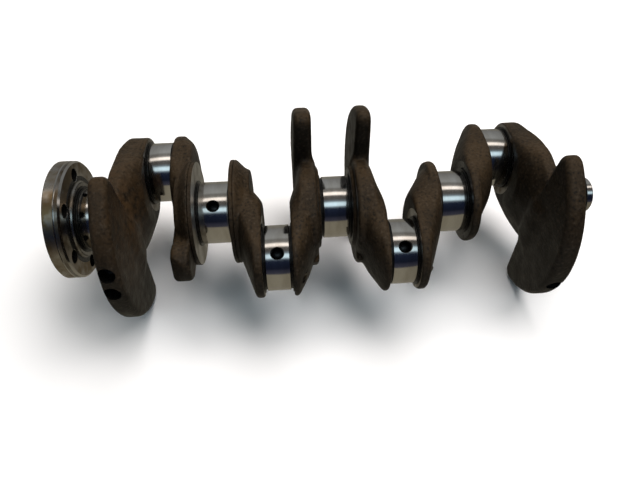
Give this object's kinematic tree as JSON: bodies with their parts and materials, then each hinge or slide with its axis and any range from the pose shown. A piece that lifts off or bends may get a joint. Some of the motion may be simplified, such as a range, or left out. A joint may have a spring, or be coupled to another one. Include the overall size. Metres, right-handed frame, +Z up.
{
  "type": "crankshaft",
  "caption": "Forged in-line four crankshaft with ground journals, webs with counterweights, a bolted rear flange and a short nose.",
  "frame": {"origin": "centre of the middle main journal, on the main axis, which is also the centre of the bounding box to within 2 mm", "axes": "+X along the main axis from the rear flange to the nose; the crank plane is horizontal, with the second and third crankpins towards -Y and the first and fourth towards +Y; +Z up"},
  "size_m": [0.4278, 0.161, 0.1466],
  "materials": {
    "forged_steel": "dark brown forging scale, slightly oily",
    "ground_steel": "ground and polished journal",
    "turned_steel": "turned, with fine circular marks and light browning",
    "plug_steel": "pressed-in plug, dull"
  },
  "bodies": {
    "root": {"crankpin_1": "ground_steel", "crankpin_2": "ground_steel", "crankpin_3": "ground_steel", "crankpin_4": "ground_steel", "flange_boss": "turned_steel", "main_journal_1": "ground_steel", "main_journal_2": "ground_steel", "main_journal_3": "ground_steel", "main_journal_4": "ground_steel", "main_journal_5": "ground_steel", "nose": "ground_steel", "oil_gallery_plug_1": "plug_steel", "oil_gallery_plug_2": "plug_steel", "oil_gallery_plug_3": "plug_steel", "oil_gallery_plug_4": "plug_steel", "rear_flange": "turned_steel", "thrust_face_front": "turned_steel", "thrust_face_rear": "turned_steel", "web_1": "forged_steel", "web_2": "forged_steel", "web_3": "forged_steel", "web_4": "forged_steel", "web_5": "forged_steel", "web_6": "forged_steel", "web_7": "forged_steel", "web_8": "forged_steel"}
  },
  "joints": []
}
